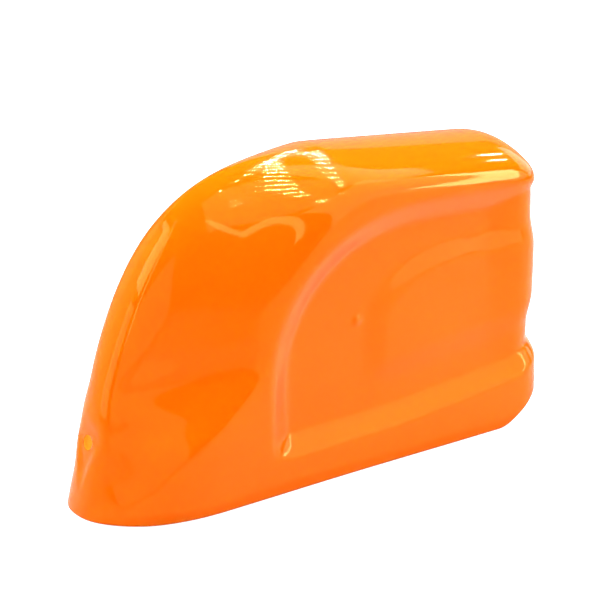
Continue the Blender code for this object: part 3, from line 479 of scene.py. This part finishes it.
def ramp(tree, fac, stops):
    made = tree.nodes.new("ShaderNodeValToRGB")
    elements = made.color_ramp.elements
    while len(elements) < len(stops):
        elements.new(0.5)
    for element, (position, colour) in zip(elements, stops):
        element.position = position
        element.color = (*colour, 1.0) if len(colour) == 3 else colour
    tree.links.new(fac, made.inputs["Fac"])
    return made.outputs["Color"]


def bump(tree, shader, height, strength, distance):
    made = tree.nodes.new("ShaderNodeBump")
    made.inputs["Strength"].default_value = strength
    made.inputs["Distance"].default_value = distance
    tree.links.new(height, made.inputs["Height"])
    tree.links.new(made.outputs["Normal"], shader.inputs["Normal"])


def grey(value):
    return (value, value, value)


# Noise levels between which a colour or a roughness goes from its first value to its second.
RAMP_LOW, RAMP_HIGH = 0.3, 0.7

ORANGE_DEEP = (1.0, 0.131, 0.0004)
ORANGE_LIGHT = (1.0, 0.145, 0.0006)
ORANGE_ROUGHNESS = (0.025, 0.055)
ORANGE_IOR = 1.44
SINK_DEPTH = 0.004           # how far the light sinks into the plastic
SINK_COLOURS = (1.0, 0.20, 0.02)
GLOSS_TINT = (1.0, 0.84, 0.19, 1.0)
# Painted glow on the inner face and the hole's wall: emission in place of light let through the
# thin wall.
PAINTED_INNER_GLOW = (1.0, 0.46, 0.03, 1.0)
PAINTED_INNER_GLOW_STRENGTH = 0.6


def orange_plastic(name="orange_plastic"):
    """Glossy thin plastic; the light sinks in a little, so that thin edges look lighter."""
    made, tree, shader = nodes_of(name)
    colour = ramp(tree, noise(tree, 9.0), [(RAMP_LOW, ORANGE_DEEP), (RAMP_HIGH, ORANGE_LIGHT)])
    tree.links.new(colour, shader.inputs["Base Color"])
    low, high = ORANGE_ROUGHNESS
    gloss = ramp(tree, noise(tree, 60.0, 4.0), [(RAMP_LOW, grey(low)), (RAMP_HIGH, grey(high))])
    tree.links.new(gloss, shader.inputs["Roughness"])
    shader.inputs["Subsurface Weight"].default_value = 0.5
    shader.inputs["Subsurface Radius"].default_value = SINK_COLOURS
    shader.inputs["Subsurface Scale"].default_value = SINK_DEPTH
    shader.inputs["IOR"].default_value = ORANGE_IOR
    shader.inputs["Specular Tint"].default_value = GLOSS_TINT
    bump(tree, shader, noise(tree, 420.0, 2.0), 0.006, 0.0003)
    return made


def orange_inside_painted_glow():
    """Inner face of the same plastic, with a painted glow: emission that stands in for the light
    that the thin wall lets in.
    """
    made = orange_plastic("orange_inside_painted_glow")
    shader = made.node_tree.nodes["Principled BSDF"]
    # Painted glow: emission that stands in for light coming through the wall.
    shader.inputs["Emission Color"].default_value = PAINTED_INNER_GLOW
    shader.inputs["Emission Strength"].default_value = PAINTED_INNER_GLOW_STRENGTH
    return made


PLAIN_DARK = 0.8             # darkest patches of a plain material, as a share of its colour
PLAIN_BUMP = 0.0002          # depth of its surface noise


def plain(name, colour, metallic, roughness, scale, strength):
    """Material with colour, gloss and surface broken up by noise of one base scale."""
    made, tree, shader = nodes_of(name)
    low, high = roughness
    dark = tuple(c * PLAIN_DARK for c in colour)
    tint = ramp(tree, noise(tree, scale, 4.0), [(RAMP_LOW, dark), (RAMP_HIGH, colour)])
    tree.links.new(tint, shader.inputs["Base Color"])
    shader.inputs["Metallic"].default_value = metallic
    gloss = ramp(tree, noise(tree, scale * 3, 5.0),
                 [(RAMP_LOW, grey(low)), (RAMP_HIGH, grey(high))])
    tree.links.new(gloss, shader.inputs["Roughness"])
    bump(tree, shader, noise(tree, scale * 8, 3.0), strength, PLAIN_BUMP)
    return made


# Name, colour, metallic, roughness from and to, scale of the noise, strength of the bump.
PLAIN_LOOKS = (("zinc_steel", (0.66, 0.67, 0.70), 1.0, (0.25, 0.42), 120.0, 0.1),
               ("galvanised_steel", (0.66, 0.67, 0.68), 0.6, (0.42, 0.58), 40.0, 0.1),
               ("rubber", (0.030, 0.030, 0.030), 0.0, (0.70, 0.88), 90.0, 0.4),
               ("bonding_tape", (0.08, 0.08, 0.08), 0.0, (0.6, 0.75), 80.0, 0.2))


def dress_frame():
    """Give every node of the frame the material of its slot."""
    looks = {"orange_shell": orange_plastic()}
    for look in PLAIN_LOOKS:
        looks[look[0]] = plain(*look)
    for part in frame["record"]["subparts"]:
        item = frame["nodes"][part["node"]]
        item.data.materials.clear()
        item.data.materials.append(looks[part["material_slot"]])
    return looks


# ---------------------------------------------------------------- studio
# Panels: name, direction of the lower and of the upper end as azimuth and elevation in degrees
# from the middle of the object, distance and width in metres, and level of light, where 1 is
# a white surface in plain light. Azimuth 0 is square to the side that is seen, -90 is the nose.
# They light the object and show as reflections; CARDS has the same columns.
PANELS = (("front_right_panel", (46.0, 0.0), (22.0, 44.0), 1.7, 1.5, 2.8),
          ("right_panel", (95.0, 2.0), (95.0, 35.0), 1.7, 1.2, 2.5),
          ("nose_panel", (-103.0, 24.0), (-103.0, 52.0), 1.5, 0.9, 5.0),
          ("nose_low_panel", (-98.0, -2.0), (-98.0, 20.0), 1.5, 0.8, 2.3),
          ("back_left_panel", (-138.0, -4.0), (-138.0, 44.0), 1.6, 1.6, 1.12),
          ("back_right_panel", (135.0, 0.0), (135.0, 28.0), 1.7, 1.2, 0.45))

# Strips and cards that only show as reflections.
CARDS = (("front_edge_strip", (4.0, 9.0), (-13.0, 46.0), 1.6, 0.05, 5.0),
         ("right_strip", (39.0, 2.0), (66.0, 40.0), 1.5, 0.12, 14.0),
         ("nose_strip", (-68.0, 9.0), (-80.0, 62.0), 1.5, 0.10, 5.0),
         ("camera_left_card", (-32.0, -18.0), (-53.0, 24.0), 1.6, 1.3, 1.2))

# Flat panels: name, first and last corner, height, level, whether it faces up, what it lights.
# The two cards above hang over the lamps, so that the lamps show in front of them.
FLAT_PANELS = (("ceiling", (-0.6, -0.60), (1.0, 1.2), 1.2, 5.2, False, "diffuse"),
               ("crown_card", (0.22, -0.85), (1.00, 0.22), 1.14, 2.4, False, "glossy"),
               ("hood_card", (-0.25, -1.60), (0.22, -0.30), 1.14, 1.7, False, "glossy"),
               ("near_floor_card", (-0.30, -0.42), (1.50, -0.075), 0.0005, 0.75, True, "glossy"),
               ("far_floor_card", (0.00, -1.50), (1.50, -0.42), 0.0005, 0.75, True, "glossy"))

# Rows of small bright lamps under the ceiling, which only show as reflections on the crown and
# its rear edge: the points that each row runs through, how many lamps, and their width.
LAMP_ROWS = ((((0.50, 0.58), (0.24, 0.04), (0.11, -0.29), (0.03, -0.58), (0.02, -0.80)), 12, 0.012),
             (((0.08, -1.25), (0.16, -1.60), (0.30, -1.50), (0.28, -1.20)), 6, 0.018),
             (((0.25, -1.00), (0.23, -0.59), (0.27, -0.22), (0.37, 0.06), (0.81, 0.95)), 12, 0.012),
             (((-0.042, -0.266), (0.086, -0.108), (0.365, 0.383), (1.08, 1.48)), 14, 0.010),
             (((1.13, 0.24), (1.18, 0.44)), 2, 0.012))
LAMP_HEIGHT = 1.1
LAMP_LEVEL = 260.0
LAMP_STROKE = 3.5            # length of a lamp across its row, in widths

# Lamps that show at a slant on the side, where a white one would turn the orange pink.
WARM_LAMPS = ("back_left_panel", "near_floor_card", "far_floor_card")
WARM_TONE = (1.0, 0.95, 0.42)
WHITE = (1.0, 1.0, 1.0)

AMBIENT_LEVEL = 0.20         # light of the world on matt surfaces
GLOSSY_SURROUND = 0.06       # level of the world in reflections, between the panels
MIDDLE = Vector((0.0, 0.0, 0.11))
DOWN, FORWARD = Vector((0.0, 0.0, -1.0)), Vector((0.0, 1.0, 0.0))


def direction(azimuth, elevation):
    """Unit vector; azimuth 0 points to -Y and 90 to +X."""
    turn, rise = math.radians(azimuth), math.radians(elevation)
    flat = math.cos(rise)
    return Vector((math.sin(turn) * flat, -math.cos(turn) * flat, math.sin(rise)))


def panel(name, place, facing, up, width, height, level, lights="both"):
    """Area lamp of a given level of light, hidden from the camera, that faces a point."""
    data = bpy.data.lights.new(name, "AREA")
    data.shape = "RECTANGLE"
    data.size = width
    data.size_y = height
    data.energy = math.pi * width * height * level
    data.color = WARM_TONE if name in WARM_LAMPS else WHITE
    item = link(bpy.data.objects.new(name, data))
    back = (place - facing).normalized()
    side = up.cross(back).normalized()
    turned = Matrix((side, back.cross(side), back)).transposed().to_4x4()
    item.matrix_world = Matrix.Translation(place) @ turned
    item.visible_camera = False
    item.visible_diffuse = lights != "glossy"
    item.visible_glossy = lights != "diffuse"


def standing_panels(rows, lights):
    """Panels that stand round the object and face its middle."""
    for name, low, high, distance, width, level in rows:
        bottom, top = direction(*low) * distance, direction(*high) * distance
        reach = (top - bottom).length
        panel(name, MIDDLE + (bottom + top) / 2, MIDDLE, top - bottom, width, reach, level, lights)


def flat_panels():
    for name, (x0, y0), (x1, y1), height, level, faces_up, lights in FLAT_PANELS:
        centre = Vector(((x0 + x1) / 2, (y0 + y1) / 2, height))
        aim = centre - DOWN if faces_up else centre + DOWN
        panel(name, centre, aim, FORWARD, x1 - x0, y1 - y0, level, lights)


def lamp_rows():
    """Evenly spaced lamps along each row, each one a stroke across it."""
    for row, (corners, count, width) in enumerate(LAMP_ROWS):
        corners = np.array(corners)
        lengths = np.linalg.norm(np.diff(corners, axis=0), axis=1)
        run = np.concatenate([[0.0], np.cumsum(lengths)])
        steps = np.linspace(0.0, run[-1], count)
        xs, ys = (np.interp(steps, run, corners[:, axis]) for axis in (0, 1))
        spots = [Vector((float(x), float(y), LAMP_HEIGHT)) for x, y in zip(xs, ys)]
        for place, spot in enumerate(spots):
            along = spots[min(place + 1, count - 1)] - spots[max(place - 1, 0)]
            across = DOWN.cross(along).normalized()
            panel(f"lamp_{row}_{place}", spot, spot + DOWN, across, width, LAMP_STROKE * width,
                  LAMP_LEVEL, "glossy")


def world_light():
    """White for the camera, dim for reflections, and a soft even light for the rest."""
    world = bpy.data.worlds.new("studio")
    bpy.context.scene.world = world
    world.use_nodes = True
    tree = world.node_tree
    tree.nodes.clear()
    output = tree.nodes.new("ShaderNodeOutputWorld")
    path = tree.nodes.new("ShaderNodeLightPath")
    seen, glossy, ambient = (tree.nodes.new("ShaderNodeBackground") for _ in range(3))
    levels = ((seen, 1.0), (glossy, GLOSSY_SURROUND), (ambient, AMBIENT_LEVEL))
    for background, level in levels:
        background.inputs["Color"].default_value = (*WHITE, 1.0)
        background.inputs["Strength"].default_value = level
    by_gloss = tree.nodes.new("ShaderNodeMixShader")
    by_camera = tree.nodes.new("ShaderNodeMixShader")
    tree.links.new(path.outputs["Is Glossy Ray"], by_gloss.inputs["Fac"])
    tree.links.new(ambient.outputs["Background"], by_gloss.inputs[1])
    tree.links.new(glossy.outputs["Background"], by_gloss.inputs[2])
    tree.links.new(path.outputs["Is Camera Ray"], by_camera.inputs["Fac"])
    tree.links.new(by_gloss.outputs["Shader"], by_camera.inputs[1])
    tree.links.new(seen.outputs["Background"], by_camera.inputs[2])
    tree.links.new(by_camera.outputs["Shader"], output.inputs["Surface"])


FLOOR_SIZE = 30.0
FLOOR_DROP = 0.0005          # below the part, so that the two never share a plane
FLOOR_COLOUR = 0.47
FLOOR_WHITENESS = 0.86       # light that the camera alone sees on top of the lit floor


def floor():
    """Grey floor that keeps the object's shadow, lifted to white for the camera alone."""
    shape = bmesh.new()
    bmesh.ops.create_grid(shape, x_segments=1, y_segments=1, size=FLOOR_SIZE)
    mesh = bpy.data.meshes.new("floor")
    shape.to_mesh(mesh)
    shape.free()
    item = link(bpy.data.objects.new("floor", mesh))
    item.location = (0.0, 0.0, -FLOOR_DROP)
    made, tree, shader = nodes_of("floor")
    shader.inputs["Base Color"].default_value = (*grey(FLOOR_COLOUR), 1.0)
    shader.inputs["Roughness"].default_value = 0.6
    shader.inputs["Specular IOR Level"].default_value = 0.1
    path = tree.nodes.new("ShaderNodeLightPath")
    part = tree.nodes.new("ShaderNodeMath")
    part.operation = "MULTIPLY"
    part.inputs[1].default_value = FLOOR_WHITENESS
    white = tree.nodes.new("ShaderNodeEmission")
    both = tree.nodes.new("ShaderNodeAddShader")
    tree.links.new(path.outputs["Is Camera Ray"], part.inputs[0])
    tree.links.new(part.outputs[0], white.inputs["Strength"])
    tree.links.new(shader.outputs["BSDF"], both.inputs[0])
    tree.links.new(white.outputs["Emission"], both.inputs[1])
    tree.links.new(both.outputs["Shader"], tree.nodes["Material Output"].inputs["Surface"])
    mesh.materials.append(made)


CAMERA_PLACE = (-1.0298, -1.4524, 0.8080)
CAMERA_AZIMUTH, CAMERA_ELEVATION = -35.3, 21.0


def camera():
    data = bpy.data.cameras.new("camera")
    data.lens = 150.0
    data.sensor_width = 36.0
    data.clip_end = 100.0
    item = link(bpy.data.objects.new("camera", data))
    back = direction(CAMERA_AZIMUTH, CAMERA_ELEVATION)
    item.location = CAMERA_PLACE
    item.rotation_mode = "QUATERNION"
    item.rotation_quaternion = (-back).to_track_quat("-Z", "Y")
    bpy.context.scene.camera = item


looks = dress_frame()
build_shell(looks["orange_shell"], orange_inside_painted_glow())
floor()
standing_panels(PANELS, "both")
standing_panels(CARDS, "glossy")
flat_panels()
lamp_rows()
world_light()
camera()
bpy.context.scene.view_settings.view_transform = "Standard"
